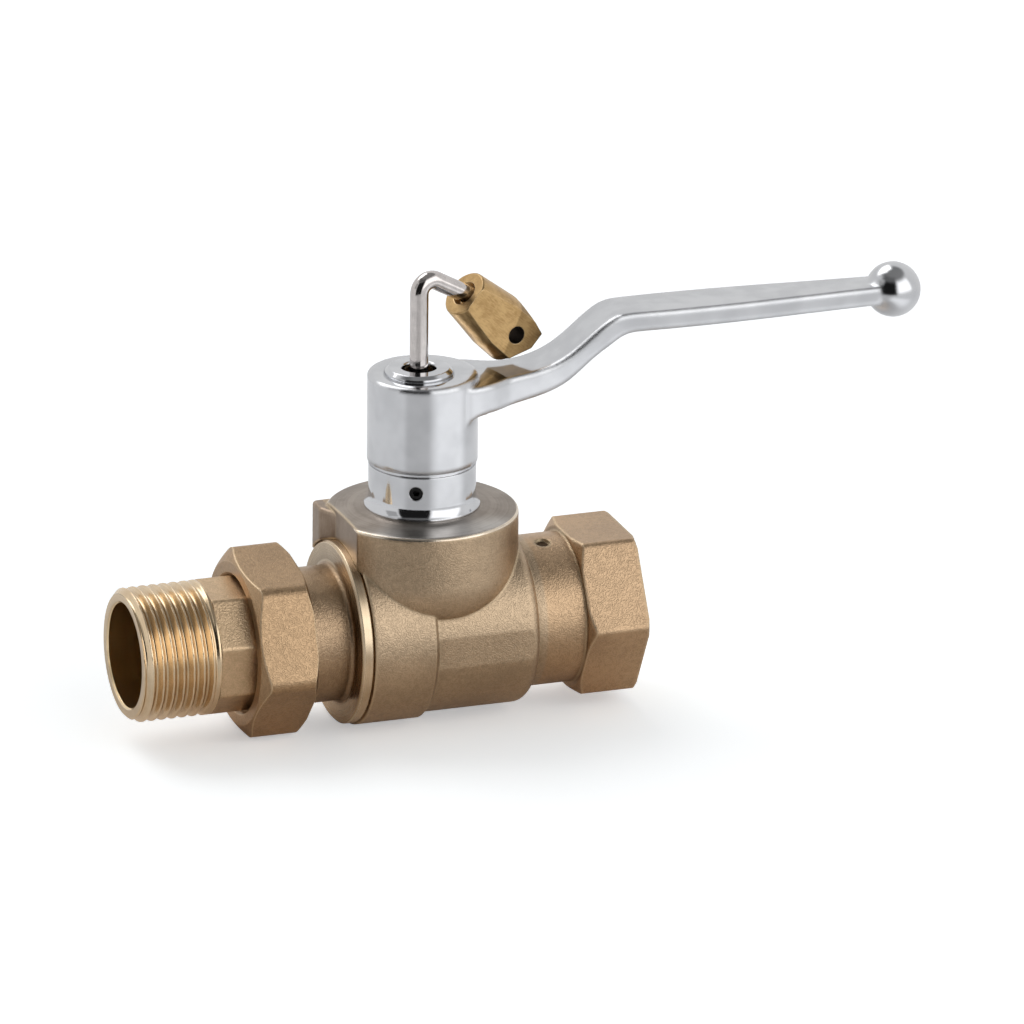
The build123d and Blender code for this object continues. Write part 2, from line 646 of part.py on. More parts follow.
with BuildPart() as lever:
    stem_ring(hub_bottom_z, hub_top_z, 0, hub_r)
    fillet(lever.edges().group_by(Axis.Z)[-1], hub_edge)
    add(arm.part)
    add(root_skirt.part)
    with Locations((knob_x, 0, knob_z)):
        Sphere(knob_r)
    # square hole, nut chamber, rotor chamber and cap seat
    with BuildSketch(Plane.XY.offset(hub_bottom_z)) as square_hole:
        Rectangle(square_flats + 2 * seat_room, square_flats + 2 * seat_room)
    extrude(amount=hub_web_t, mode=Mode.SUBTRACT)
    stem_ring(web_top_z, rotor_bottom_z - seat_room, 0, nut_chamber_r, Mode.SUBTRACT)
    lock_ring(rotor_bottom_z - seat_room, cap_seat_z, 0, rotor_r + running_gap, Mode.SUBTRACT)
    lock_ring(cap_seat_z, hub_top_z, 0, cap_r + seat_room, Mode.SUBTRACT)
    # bolt bore and the slot for its pin
    bolt_bore_top_z = bolt_top_z + 2 * free_room
    with BuildSketch(Plane.XY.offset(hub_bottom_z)) as bolt_bore:
        with Locations(on_circle(lock_circle_r, bolt_deg)):
            Circle(bolt_r + running_gap)
    extrude(amount=bolt_bore_top_z - hub_bottom_z, mode=Mode.SUBTRACT)
    slot_low_z = bolt_pin_z - bolt_travel - bolt_pin_r - hole_room
    slot_high_z = bolt_pin_z + bolt_pin_r + hole_room
    with BuildSketch(Plane.XY.offset(slot_low_z)) as pin_slot:
        with PolarLocations(0, 1, start_angle=bolt_deg):
            with Locations(((bolt_pin_tip_r + lock_circle_r) / 2, 0)):
                Rectangle(lock_circle_r - bolt_pin_tip_r, 2 * (bolt_pin_r + hole_room))
    extrude(amount=slot_high_z - slot_low_z, mode=Mode.SUBTRACT)
    # arc groove that runs over the stop pin
    groove_r = stop_pin_r + stop_slack
    with BuildSketch(Plane.XY.offset(hub_bottom_z)) as stop_groove:
        with BuildLine() as groove_arc:
            CenterArc((0, 0), lock_circle_r, stop_pin_deg, quarter_turn_deg)
        SlotArc(groove_arc.wires()[0], 2 * groove_r)
    extrude(amount=stop_pin_height + stop_slack, mode=Mode.SUBTRACT)
lever.part.label = "lever"
export_step(lever.part, "parts/lever.step")

# Washer and nut that hold the lever on the stem
with BuildPart() as stem_washer:
    stem_ring(web_top_z, web_top_z + washer_t, screw_r + hole_room, washer_r)
stem_washer.part.label = "stem_washer"
export_step(stem_washer.part, "parts/stem_washer.step")

with BuildPart() as stem_nut:
    with BuildSketch(Plane.XY.offset(web_top_z + washer_t)) as stem_nut_outline:
        polygon(stem_nut_flats, 6, 0, stem_nut_corner)
        Circle(screw_r + seat_room, mode=Mode.SUBTRACT)
    extrude(amount=stem_nut_t)
stem_nut.part.label = "stem_nut"
export_step(stem_nut.part, "parts/stem_nut.step")

# Rotor: turned by the key, its helical groove lifts and lowers the bolt's pin
rotor_top_z = cap_seat_z - seat_room

with BuildPart() as rotor:
    lock_ring(rotor_bottom_z, rotor_top_z, 0, rotor_r)
    lock_ring(rotor_recess_z, rotor_top_z, 0, rotor_recess_r, Mode.SUBTRACT)
    with BuildSketch(Plane.XY.offset(rotor_bottom_z)) as key_slot:
        with Locations((lock_x, 0)):
            Rectangle(2 * (rod_r + seat_room), key_tip_t + 2 * seat_room, rotation=key_plane_deg)
    extrude(amount=rotor_recess_z - rotor_bottom_z, mode=Mode.SUBTRACT)
    for cut in range(groove_cuts + 1):
        share = cut / groove_cuts
        cut_dir = Vector(*on_circle(1, bolt_deg - quarter_turn_deg * share), 0)
        cut_from = bolt_pin_tip_r + lock_x - running_gap
        cut_at = cut_dir * cut_from + Vector(lock_x, 0, bolt_pin_z - bolt_travel * share)
        with BuildSketch(Plane(origin=cut_at, z_dir=cut_dir)) as groove_cut:
            Circle(bolt_pin_r + hole_room)
        extrude(amount=rotor_r, mode=Mode.SUBTRACT)
rotor.part.label = "lock_rotor"
export_step(rotor.part, "parts/lock_rotor.step")

# Bolt and the pin pressed into it
with BuildPart() as bolt:
    with BuildSketch(Plane.XY.offset(bolt_bottom_z)) as bolt_section:
        with Locations(on_circle(lock_circle_r, bolt_deg)):
            Circle(bolt_r)
    extrude(amount=bolt_top_z - bolt_bottom_z)
    chamfer(bolt.edges().group_by(Axis.Z)[0], bolt_bevel)
    pin_dir = Vector(*on_circle(1, bolt_deg), 0)
    pin_plane = Plane(origin=pin_dir * bolt_pin_tip_r + Vector(0, 0, bolt_pin_z), z_dir=pin_dir)
    with BuildSketch(pin_plane) as pin_bore:
        Circle(bolt_pin_r)
    extrude(amount=lock_circle_r - bolt_pin_tip_r, mode=Mode.SUBTRACT)
bolt.part.label = "lock_bolt"
export_step(bolt.part, "parts/lock_bolt.step")

with BuildPart() as bolt_pin:
    with BuildSketch(pin_plane) as pin_section:
        Circle(bolt_pin_r)
    extrude(amount=lock_circle_r - bolt_pin_tip_r)
bolt_pin.part.label = "bolt_pin"
export_step(bolt_pin.part, "parts/bolt_pin.step")

# Cap: closes the rotor chamber, the key goes through its hole
with BuildPart() as hub_cap:
    lock_turned(
        [(cap_hole_r, cap_seat_z), (cap_r, cap_seat_z),
         (cap_r, cap_top_z - cap_bevel), (cap_r - cap_bevel, cap_top_z),
         (cap_hole_r + cap_mouth, cap_top_z), (cap_hole_r, cap_top_z - cap_mouth)],
    )
hub_cap.part.label = "hub_cap"
export_step(hub_cap.part, "parts/hub_cap.step")

# Key rod: flattened tip, straight shank and a bend that points down into the head
turn_rad = radians(key_plane_deg)
key_plane = Plane(
    origin=(lock_x, 0, 0), x_dir=(cos(turn_rad), sin(turn_rad), 0), z_dir=(sin(turn_rad), -cos(turn_rad), 0)
)


def heading(turn_deg):
    """The direction of the rod in the key's plane after it has turned this far from upright."""
    return (sin(radians(turn_deg)), cos(radians(turn_deg)))


rod_heading = heading(rod_turn_deg)
head_heading = heading(head_turn_deg)
bend_end = (rod_bend_r * (1 - rod_heading[1]), rod_bend_z + rod_bend_r * rod_heading[0])


def beyond_bend(along):
    """A point of the rod's end, measured in the key's plane from the head's face."""
    run = rod_lead + along
    return (bend_end[0] + rod_heading[0] * run, bend_end[1] + rod_heading[1] * run)


with BuildPart() as key_rod:
    with BuildLine(key_plane) as rod_path:
        Line((0, key_tip_z), (0, rod_bend_z))
        CenterArc((rod_bend_r, rod_bend_z), rod_bend_r, 180, -rod_turn_deg)
        Line(bend_end, beyond_bend(rod_in_head))
    with BuildSketch(Plane.XY.offset(key_tip_z)) as rod_section:
        with Locations((lock_x, 0)):
            Circle(rod_r)
    sweep(path=rod_path.line)
    chamfer(key_rod.edges().group_by(Axis.Z)[0], rod_bevel)
    with BuildSketch(Plane.XY.offset(key_tip_z)) as tip_sides:
        with Locations(Location((lock_x, 0, 0), (0, 0, key_plane_deg))):
            with Locations((0, key_tip_t / 2 + rod_r), (0, -key_tip_t / 2 - rod_r)):
                Rectangle(4 * rod_r, 2 * rod_r)
    extrude(amount=rotor_recess_z - key_tip_z + seat_room, mode=Mode.SUBTRACT)
key_rod.part.label = "key_rod"
export_step(key_rod.part, "parts/key_rod.step")

# Key head: turned taper with two milled flats, a sloped nose and a ring hole
head_origin = key_plane.from_local_coords(Vector(*beyond_bend(0), 0))
head_dir = key_plane.from_local_coords(Vector(*head_heading, 0)) - key_plane.origin
rod_dir = key_plane.from_local_coords(Vector(*rod_heading, 0)) - key_plane.origin
head_plane = Plane(origin=head_origin, x_dir=head_dir, z_dir=key_plane.z_dir)
head_turn_axis = Axis(head_origin, head_dir)

with BuildPart() as key_head:
    with BuildSketch(head_plane) as head_outline:
        with BuildLine():
            Polyline((0, 0), (0, head_end_r - head_bevel), (head_bevel, head_end_r),
                     (head_wide_s, head_wide_r), (head_length, head_wide_r), (head_length, 0), close=True)
        make_face()
    revolve(axis=head_turn_axis)
    for face_side in (-1, 1):
        with BuildSketch(head_plane.offset(face_side * head_flat)) as flat_cut:
            with Locations((head_length / 2, 0)):
                Rectangle(2 * head_length, 4 * head_wide_r)
        extrude(amount=face_side * head_wide_r, mode=Mode.SUBTRACT)
    # two facets narrow the nose, a long one above and a short steep one below
    for facet_start, facet_end in (((head_wide_s, head_wide_r), (head_length, head_tip)),
                                   ((head_crest_s, -head_crest), (head_length, 0))):
        outside = 2 * head_wide_r if facet_start[1] > 0 else -2 * head_wide_r
        with BuildSketch(head_plane) as nose_cut:
            with BuildLine():
                Polyline(facet_start, facet_end, (head_length + head_wide_r, facet_end[1]),
                         (head_length + head_wide_r, outside), (facet_start[0], outside), close=True)
            make_face()
        extrude(amount=head_wide_r, both=True, mode=Mode.SUBTRACT)
    with BuildSketch(head_plane) as ring_hole:
        with Locations((head_hole_s, 0)):
            Circle(head_hole_r)
    extrude(amount=head_wide_r, both=True, mode=Mode.SUBTRACT)
    # tapered mouth, and the hole that holds the rod's end
    with BuildSketch(head_plane) as rod_mouth:
        with BuildLine():
            Polyline((0, 0), (0, head_mouth_r), (head_mouth_depth, rod_r + seat_room),
                     (head_mouth_depth, 0), close=True)
        make_face()
    revolve(axis=head_turn_axis, mode=Mode.SUBTRACT)
    with BuildSketch(Plane(origin=head_origin - rod_dir * rod_r, z_dir=rod_dir)) as rod_bore:
        Circle(rod_r + seat_room)
    extrude(amount=rod_r + rod_in_head + hole_room, mode=Mode.SUBTRACT)
key_head.part.label = "key_head"
export_step(key_head.part, "parts/key_head.step")
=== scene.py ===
import logging
import math
from dataclasses import dataclass
from enum import Enum
from typing import Callable, Iterable, Sequence, Union

import bpy
from mathutils import Matrix, Vector


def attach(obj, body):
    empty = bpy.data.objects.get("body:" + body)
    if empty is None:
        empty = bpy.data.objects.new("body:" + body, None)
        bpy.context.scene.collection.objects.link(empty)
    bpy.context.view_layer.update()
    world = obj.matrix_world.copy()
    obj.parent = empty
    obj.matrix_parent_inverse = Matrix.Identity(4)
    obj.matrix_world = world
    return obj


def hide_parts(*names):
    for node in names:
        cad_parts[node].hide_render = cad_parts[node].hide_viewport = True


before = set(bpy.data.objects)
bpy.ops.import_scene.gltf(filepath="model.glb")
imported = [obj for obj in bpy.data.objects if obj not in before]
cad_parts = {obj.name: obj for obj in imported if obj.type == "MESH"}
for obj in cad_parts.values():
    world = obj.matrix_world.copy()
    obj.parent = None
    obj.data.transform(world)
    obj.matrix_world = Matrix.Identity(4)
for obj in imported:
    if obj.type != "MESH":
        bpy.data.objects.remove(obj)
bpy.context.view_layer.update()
MM = 0.001
HALF = 0.5
LOG = logging.getLogger("isolating_valve")

Colour = tuple[float, float, float]
Triple = tuple[float, float, float]
UP: Triple = (0.0, 0.0, 1.0)
HEAD_WAY: Triple = (0.75, 0.15, -0.65)
# Colour of rounded edges: partly worn brass, partly a painted highlight.
WORN_AND_LIT_BRASS: Colour = (0.90, 0.78, 0.58)
# Painted shade: the colour that thread roots and small hollows are darkened towards.
THREAD_ROOT_SHADE: Colour = (0.30, 0.18, 0.08)


class Slot(Enum):
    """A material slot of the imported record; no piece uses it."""

    BRONZE = "cast_bronze"


class Body(Enum):
    """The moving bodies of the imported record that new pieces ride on."""

    ROOT = "root"
    TAIL = "tail"


class Signal:
    """A shader socket that can be used in Python expressions."""

    def __init__(self, graph: "Graph", socket: bpy.types.NodeSocket) -> None:
        """Wrap an output socket of a node.

        Args:
            graph: the node graph that the socket belongs to.
            socket: the output socket.
        """
        self.graph = graph
        self.socket = socket

    def __add__(self, other: "Value") -> "Signal":
        """The sum of two values."""
        return self.graph.math("ADD", self, other)

    def __radd__(self, other: "Value") -> "Signal":
        """The sum of two values, with the number first."""
        return self.graph.math("ADD", other, self)

    def __sub__(self, other: "Value") -> "Signal":
        """The difference of two values."""
        return self.graph.math("SUBTRACT", self, other)

    def __rsub__(self, other: "Value") -> "Signal":
        """The difference of two values, with the number first."""
        return self.graph.math("SUBTRACT", other, self)

    def __mul__(self, other: "Value") -> "Signal":
        """The product of two values."""
        return self.graph.math("MULTIPLY", self, other)

    def __rmul__(self, other: "Value") -> "Signal":
        """The product of two values, with the number first."""
        return self.graph.math("MULTIPLY", other, self)


Value = Union[Signal, float]
Input = Union[Signal, float, Sequence[float], bpy.types.NodeSocket]


class Graph:
    """The node graph of one material or of the world."""

    def __init__(self, tree: bpy.types.NodeTree) -> None:
        """Start from an empty graph.

        Args:
            tree: the node tree, whose nodes are removed.
        """
        self.tree = tree
        tree.nodes.clear()

    def node(self, kind: str, settings: dict[str, object] | None = None,
             sockets: dict[str | int, Input] | None = None) -> bpy.types.Node:
        """Add a node.

        Args:
            kind: the node's type name.
            settings: its properties, set before its sockets.
            sockets: values or links of its inputs, by name or index.

        Returns:
            The new node.
        """
        made = self.tree.nodes.new(kind)
        for name, value in (settings or {}).items():
            setattr(made, name, value)
        for name, value in (sockets or {}).items():
            socket = made.inputs[name]
            if isinstance(value, Signal):
                self.tree.links.new(value.socket, socket)
            elif isinstance(value, bpy.types.NodeSocket):
                self.tree.links.new(value, socket)
            else:
                socket.default_value = value
        return made

    def out(self, made: bpy.types.Node, name: str | int = 0) -> Signal:
        """An output of a node as a value for expressions."""
        return Signal(self, made.outputs[name])

    def math(self, operation: str, *values: Value) -> Signal:
        """A Math node on one to three values."""
        return self.out(self.node("ShaderNodeMath", {"operation": operation}, dict(enumerate(values))))

    def vector(self, operation: str, *values: Input) -> Signal:
        """A Vector Math node that gives a vector."""
        return self.out(self.node("ShaderNodeVectorMath", {"operation": operation}, dict(enumerate(values))))

    def dot(self, one: Input, other: Input) -> Signal:
        """The dot product of two vectors."""
        made = self.node("ShaderNodeVectorMath", {"operation": "DOT_PRODUCT"}, {0: one, 1: other})
        return self.out(made, "Value")

    def join(self, x: Value, y: Value, z: Value) -> Signal:
        """A vector from three values."""
        return self.out(self.node("ShaderNodeCombineXYZ", None, {"X": x, "Y": y, "Z": z}))

    def split(self, vector: Signal) -> tuple[Signal, Signal, Signal]:
        """The three values of a vector."""
        made = self.node("ShaderNodeSeparateXYZ", None, {"Vector": vector})
        return self.out(made, "X"), self.out(made, "Y"), self.out(made, "Z")

    def smooth(self, value: Signal, low: float, high: float) -> Signal:
        """A soft step from 0 at low to 1 at high.

        Args:
            value: the value to test.
            low: where the step starts.
            high: where it ends. It may be less than low, and then the step falls.

        Returns:
            The share from 0 to 1.
        """
        first, last = (low, high) if low < high else (high, low)
        made = self.node("ShaderNodeMapRange", {"interpolation_type": "SMOOTHSTEP"},
                         {"Value": value, "From Min": first, "From Max": last})
        step = self.out(made)
        return step if low < high else 1 - step

    def above(self, value: Signal, limit: float, edge: float) -> Signal:
        """1 above a limit and 0 below it, with a soft edge."""
        return self.smooth(value, limit - edge, limit + edge)

    def below(self, value: Signal, limit: float, edge: float) -> Signal:
        """1 below a limit and 0 above it, with a soft edge."""
        return self.smooth(value, limit + edge, limit - edge)

    def within(self, value: Signal, low: float, high: float, edge: float) -> Signal:
        """1 between two limits and 0 outside them, with soft edges."""
        return self.above(value, low, edge) * self.below(value, high, edge)

    def noise(self, place: Signal, scale: float, detail: float = 2.0, roughness: float = 0.5) -> Signal:
        """Noise from 0 to 1 at a place.

        Args:
            place: the coordinates.
            scale: cells for each unit of the coordinates.
            detail: octaves.
            roughness: share of each finer octave.

        Returns:
            The noise value.
        """
        made = self.node("ShaderNodeTexNoise", {"noise_dimensions": "3D"},
                         {"Vector": place, "Scale": scale, "Detail": detail, "Roughness": roughness})
        return self.out(made, "Fac")

    def blend(self, share: Value, one: Input, other: Input) -> Signal:
        """One colour going over to another with a share from 0 to 1."""
        made = self.node("ShaderNodeMix", {"data_type": "RGBA"}, {"Factor": share})
        for name, value in (("A", one), ("B", other)):
            socket = next(s for s in made.inputs if s.name == name and s.type == "RGBA")
            if isinstance(value, Signal):
                self.tree.links.new(value.socket, socket)
            else:
                socket.default_value = (*value, 1.0)
        return Signal(self, next(s for s in made.outputs if s.type == "RGBA"))

    def level(self, share: Signal, one: Value, other: Value) -> Signal:
        """One number going over to another with a share from 0 to 1."""
        return one + share * (other - one)


@dataclass
class Place:
    """Where a point of the surface is, in millimetres, in the frame of its own piece."""

    graph: Graph
    x: Signal
    y: Signal
    z: Signal
    whole: Signal
    pipe_r: Signal
    stem_r: Signal

    @classmethod
    def of(cls, graph: Graph) -> "Place":
        """Read the piece's own coordinates.

        Args:
            graph: the material's graph.

        Returns:
            The place, with its distances from the pipe axis and the stem axis.
        """
        coords = graph.out(graph.node("ShaderNodeTexCoord"), "Object")
        whole = graph.vector("SCALE", coords)
        whole.socket.node.inputs["Scale"].default_value = 1 / MM
        x, y, z = graph.split(whole)
        pipe_r = graph.math("SQRT", y * y + z * z)
        stem_r = graph.math("SQRT", x * x + y * y)
        return cls(graph, x, y, z, whole, pipe_r, stem_r)


@dataclass
class Coat:
    """One finish at a point: its colour, roughness and height in millimetres."""

    colour: Signal
    roughness: Signal
    height: Signal

    def under(self, share: Signal, top: "Coat") -> "Coat":
        """This coat with another one over it.

        Args:
            share: where the other coat shows, from 0 to 1.
            top: the other coat.

        Returns:
            The mixed coat.
        """
        graph = share.graph
        return Coat(
            graph.blend(share, self.colour, top.colour),
            graph.level(share, self.roughness, top.roughness),
            graph.level(share, self.height, top.height),
        )


@dataclass(frozen=True)
class CastSkin:
    """Shot-blasted bronze casting: fine worm-like grain, shallow lumps, and slow changes of tone."""

    light: Colour = (0.51, 0.345, 0.203)
    dark: Colour = (0.365, 0.245, 0.143)
    worm_mm: float = 0.85
    worms: float = 5.0
    lump_mm: float = 1.3
    tones_per_mm: float = 0.07
    depth_mm: float = 0.012
    roughness: float = 0.36
    roughness_swing: float = 0.14
    shade_shares: tuple[float, float, float] = (0.5, 0.08, 0.3)
    shade_range: tuple[float, float] = (0.22, 0.58)

    def coat(self, place: Place) -> Coat:
        """The finish at a place."""
        graph = place.graph
        winding = graph.noise(place.whole, 1 / self.worm_mm)
        worm = graph.math("SINE", winding * (2 * math.pi * self.worms))
        lumps = graph.noise(place.whole, 1 / self.lump_mm)
        tone = graph.noise(place.whole, self.tones_per_mm)
        height = worm * self.depth_mm + (lumps - HALF) * (self.depth_mm * 2)
        of_tone, of_worm, of_lumps = self.shade_shares
        shade = graph.smooth(tone * of_tone + worm * of_worm + lumps * of_lumps, *self.shade_range)
        return Coat(
            graph.blend(shade, self.dark, self.light),
            self.roughness + (tone - HALF) * self.roughness_swing,
            height,
        )


@dataclass(frozen=True)
class TurnedFace:
    """Metal cut on a lathe: fine rings round the axis of the piece."""

    light: Colour = (0.84, 0.67, 0.46)
    dark: Colour = (0.70, 0.53, 0.34)
    ring_mm: float = 0.22
    ring_detail: float = 3.0
    ring_roughness: float = 0.6
    tones_per_mm: float = 0.2
    depth_mm: float = 0.004
    roughness: float = 0.22
    roughness_swing: float = 0.16
    shade_range: tuple[float, float] = (0.35, 0.65)

    def coat(self, place: Place, radius: Signal, along: Signal) -> Coat:
        """The finish at a place.

        Args:
            place: the point of the surface.
            radius: its distance from the lathe's axis.
            along: its place along that axis.

        Returns:
            The coat.
        """
        graph = place.graph
        section = graph.join(radius, along, 0.0)
        rings = graph.noise(section, 1 / self.ring_mm, self.ring_detail, self.ring_roughness)
        tone = graph.noise(place.whole, self.tones_per_mm, self.ring_detail, self.ring_roughness)
        shade = graph.smooth(tone * HALF + rings * HALF, *self.shade_range)
        return Coat(
            graph.blend(shade, self.dark, self.light),
            self.roughness + (rings - HALF) * self.roughness_swing,
            (rings - HALF) * self.depth_mm,
        )


@dataclass(frozen=True)
class Plated:
    """Bright plating on a die casting: nearly a mirror, with a faint orange peel."""

    light: Colour = (0.655, 0.662, 0.68)
    dark: Colour = (0.585, 0.592, 0.61)
    peel_mm: float = 1.4
    depth_mm: float = 0.004
    speckle_mm: float = 0.25
    speckle_range: tuple[float, float] = (0.62, 0.8)
    speckle_depth_share: float = 0.12
    speckle_roughness: float = 0.1
    tones_per_mm: float = 0.15
    tone_range: tuple[float, float] = (0.35, 0.65)
    roughness: float = 0.075

    def coat(self, place: Place) -> Coat:
        """The finish at a place."""
        graph = place.graph
        peel = graph.noise(place.whole, 1 / self.peel_mm)
        speckle = graph.noise(place.whole, 1 / self.speckle_mm, 1.0)
        tone = graph.noise(place.whole, self.tones_per_mm)
        return Coat(
            graph.blend(graph.smooth(tone, *self.tone_range), self.dark, self.light),
            self.roughness + graph.smooth(speckle, *self.speckle_range) * self.speckle_roughness,
            (peel - HALF) * self.depth_mm + (speckle - HALF) * self.depth_mm * self.speckle_depth_share,
        )


@dataclass(frozen=True)
class Drawn:
    """Metal with fine lines along one direction, as milling or drawing leaves."""

    light: Colour
    dark: Colour
    along: Triple
    line_mm: float = 0.16
    depth_mm: float = 0.003
    roughness: float = 0.28
    stretch: float = 14.0
    line_roughness: float = 0.6
    line_swing: float = 0.18
    tones_per_mm: float = 0.35
    tone_detail: float = 3.0
    tone_roughness: float = 0.65
    tone_swing: float = 0.1
    shade_shares: tuple[float, float] = (0.6, 0.4)
    shade_range: tuple[float, float] = (0.36, 0.62)

    def coat(self, place: Place) -> Coat:
        """The finish at a place."""
        graph = place.graph
        along = Vector(self.along).normalized()
        across = along.orthogonal().normalized()
        third = along.cross(across)
        run = graph.dot(place.whole, tuple(along)) * (1 / self.stretch)
        lines = graph.noise(
            graph.join(run, graph.dot(place.whole, tuple(across)), graph.dot(place.whole, tuple(third))),
            1 / self.line_mm, roughness=self.line_roughness)
        tone = graph.noise(place.whole, self.tones_per_mm, self.tone_detail, self.tone_roughness)
        of_tone, of_lines = self.shade_shares
        shade = graph.smooth(tone * of_tone + lines * of_lines, *self.shade_range)
        return Coat(
            graph.blend(shade, self.dark, self.light),
            self.roughness + (lines - HALF) * self.line_swing + (tone - HALF) * self.tone_swing,
            (lines - HALF) * self.depth_mm,
        )


@dataclass(frozen=True)
class Moulded:
    """A soft or plastic piece: even colour with a fine matt grain."""

    light: Colour
    dark: Colour
    grain_mm: float = 0.3
    grain_detail: float = 3.0
    grain_roughness: float = 0.6
    depth_mm: float = 0.01
    roughness: float = 0.5
    roughness_swing: float = 0.2
    shade_range: tuple[float, float] = (0.3, 0.7)

    def coat(self, place: Place) -> Coat:
        """The finish at a place."""
        graph = place.graph
        grain = graph.noise(place.whole, 1 / self.grain_mm, self.grain_detail, self.grain_roughness)
        return Coat(
            graph.blend(graph.smooth(grain, *self.shade_range), self.dark, self.light),
            self.roughness + (grain - HALF) * self.roughness_swing,
            (grain - HALF) * self.depth_mm,
        )


@dataclass(frozen=True)
class Finish:
    """A whole material: a coat, how metal and edges look under it, painted shade darkening its hollows, and
    rounded edges lightened as part wear, part painted highlight.
    """

    name: str
    metal: float = 1.0
    edge_mm: float = 0.3
    edge_colour: Colour = (0.85, 0.68, 0.45)
    # Share of the lighter rounded-edge colour: partly real wear, partly a painted highlight.
    edge_wear_and_highlight: float = 0.0
    # Painted shade: the next three fields darken the colour in hollows and creases, where shade falls.
    hollow_shade: float = 0.0
    hollow_shade_mm: float = 2.5
    hollow_shade_colour: Colour = (0.11, 0.07, 0.04)
    samples: int = 6
    hollow_range: tuple[float, float] = (0.92, 0.35)
    turned_range: tuple[float, float] = (0.995, 0.90)

    def material(self, paint: Callable[[Place], Coat]) -> bpy.types.Material:
        """Build the material.

        Args:
            paint: gives the coat at a place.

        Returns:
            The material.
        """
        made = bpy.data.materials.new(self.name)
        made.use_nodes = True
        graph = Graph(made.node_tree)
        place = Place.of(graph)
        coat = paint(place)
        round_edge = graph.out(graph.node("ShaderNodeBevel", {"samples": self.samples},
                                          {"Radius": self.edge_mm * MM}))
        colour = coat.colour
        roughness = coat.roughness
        # Painted shade: ambient occlusion darkens the colour in hollows and creases.
        if self.hollow_shade > 0:
            hollow = graph.node("ShaderNodeAmbientOcclusion", {"samples": self.samples, "only_local": True},
                                {"Distance": self.hollow_shade_mm * MM})
            share = graph.smooth(graph.out(hollow, "AO"), *self.hollow_range) * self.hollow_shade
            colour = graph.blend(share, colour, self.hollow_shade_colour)
        # Rounded edges take a lighter colour: partly real wear, partly a painted highlight.
        if self.edge_wear_and_highlight > 0:
            normal = graph.out(graph.node("ShaderNodeNewGeometry"), "Normal")
            edge = graph.smooth(graph.dot(round_edge, normal), *self.turned_range) * self.edge_wear_and_highlight
            colour = graph.blend(edge, colour, self.edge_colour)
        bump = graph.node("ShaderNodeBump", None,
                          {"Height": coat.height, "Distance": MM, "Strength": 1.0, "Normal": round_edge})
        shader = graph.node("ShaderNodeBsdfPrincipled", None,
                            {"Base Color": colour, "Roughness": roughness, "Metallic": self.metal,
                             "Normal": graph.out(bump)})
        graph.node("ShaderNodeOutputMaterial", None, {"Surface": shader.outputs["BSDF"]})
        return made


@dataclass(frozen=True)
class Station:
    """One ring of points round the pipe axis: its place and its radius at each angle."""

    x: float
    radius: Callable[[float], float]


def plain(radius: float) -> Callable[[float], float]:
    """The same radius at every angle."""
    return lambda angle: radius


@dataclass(frozen=True)
class RingMesh:
    """Builds a closed ring about the pipe axis from stations that run round its section."""

    name: str
    sides: int = 192

    def build(self, stations: Iterable[Station], sharp_deg: float = 32.0) -> bpy.types.Object:
        """Join the stations in order, and the last one to the first.

        Args:
            stations: the rings, in order round the section.
            sharp_deg: edges that turn more than this stay sharp.

        Returns:
            The new object, in the row frame.
        """
        points: list[tuple[float, float, float]] = []
        rings = list(stations)
        for ring in rings:
            for side in range(self.sides):
                angle = 2 * math.pi * side / self.sides
                radius = ring.radius(angle)
                points.append((ring.x * MM, radius * math.cos(angle) * MM, radius * math.sin(angle) * MM))
        faces: list[tuple[int, int, int, int]] = []
        for row in range(len(rings)):
            after = (row + 1) % len(rings)
            for side in range(self.sides):
                turn = (side + 1) % self.sides
                faces.append((row * self.sides + side, row * self.sides + turn,
                              after * self.sides + turn, after * self.sides + side))
        mesh = bpy.data.meshes.new(self.name)
        mesh.from_pydata(points, [], faces)
        mesh.polygons.foreach_set("use_smooth", [True] * len(mesh.polygons))
        mesh.set_sharp_from_angle(angle=math.radians(sharp_deg))
        mesh.update()
        made = bpy.data.objects.new(self.name, mesh)
        bpy.context.scene.collection.objects.link(made)
        return made


@dataclass(frozen=True)
class Thread:
    """A pipe thread: rounded grooves between narrow crests, one helix."""

    crest_r: float
    root_r: float
    pitch: float
    crest_share: float = 0.12

    def radius(self, x: float, angle: float) -> float:
        """Radius of the thread at a place along the axis and an angle.

        Args:
            x: the place along the axis.
            angle: the angle round it.

        Returns:
            The radius in millimetres.
        """
        phase = (x / self.pitch - angle / (2 * math.pi)) % 1.0
        half = self.crest_share / 2
        if phase < half or phase > 1 - half:
            return self.crest_r
        share = (phase - half) / (1 - self.crest_share)
        dip = math.sin(math.pi * share)
        return self.crest_r + (self.root_r - self.crest_r) * dip


def clothe(obj: bpy.types.Object, material: bpy.types.Material) -> None:
    """Give an object one material.

    Args:
        obj: the piece.
        material: its finish.
    """
    obj.data.materials.clear()
    obj.data.materials.append(material)


def node(name: str) -> bpy.types.Object:
    """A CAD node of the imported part."""
    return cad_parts[name]


